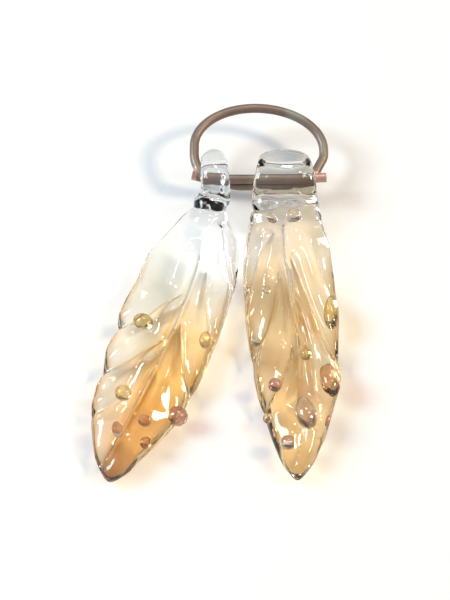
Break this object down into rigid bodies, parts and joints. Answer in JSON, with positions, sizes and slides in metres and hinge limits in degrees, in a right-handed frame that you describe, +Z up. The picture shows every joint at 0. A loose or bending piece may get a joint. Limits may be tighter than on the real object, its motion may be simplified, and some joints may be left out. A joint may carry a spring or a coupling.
{
  "type": "glass wing pendant pair",
  "caption": "Pair of flame-worked glass fairy wings, clear at the top and amber at the tips, hanging by folded glass loops from one overlapped dark copper wire ring.",
  "frame": {"origin": "centre of the bounding box's bottom face, on the surface the wings lie on", "axes": "+X along the line of the loop holes, to the right with the tips towards the viewer; +Y from the tips to the ring; +Z up"},
  "size_m": [0.0368, 0.0626, 0.0088],
  "materials": {
    "dark_copper": "oxidised copper wire, brown with grey-green patches, bare pink copper at the cut ends",
    "clear_glass": "clear flame-polished glass",
    "amber_glass": "flame-polished glass, clear at the root, amber to brown towards the tip",
    "honey_glass": "flame-polished honey glass",
    "lustre_glass": "brown-violet glass with a pearly lustre"
  },
  "bodies": {
    "ring": {"ring_wire": "dark_copper"},
    "left_wing": {"left_wing_blade": "amber_glass", "left_wing_loop": "clear_glass", "left_drop_1": "honey_glass", "left_drop_2": "honey_glass", "left_drop_3": "honey_glass", "left_drop_4": "lustre_glass", "left_drop_5": "lustre_glass", "left_drop_6": "lustre_glass", "left_drop_7": "lustre_glass"},
    "right_wing": {"right_wing_blade": "amber_glass", "right_wing_loop": "clear_glass", "right_drop_1": "clear_glass", "right_drop_2": "clear_glass", "right_drop_3": "clear_glass", "right_drop_4": "clear_glass", "right_drop_5": "clear_glass", "right_drop_6": "honey_glass", "right_drop_7": "honey_glass", "right_drop_8": "lustre_glass", "right_drop_9": "lustre_glass", "right_drop_10": "honey_glass", "right_drop_11": "lustre_glass", "right_drop_12": "lustre_glass"}
  },
  "joints": [
    {"name": "left_wing_swing", "type": "hinge", "parent": "ring", "child": "left_wing", "pos_m": [-0.00048, 0.01831, 0.0044], "axis": [-1, 0, 0], "range_deg": [-100, 100]},
    {"name": "right_wing_swing", "type": "hinge", "parent": "ring", "child": "right_wing", "pos_m": [0.01042, 0.01831, 0.0044], "axis": [-1, 0, 0], "range_deg": [-100, 100]}
  ]
}
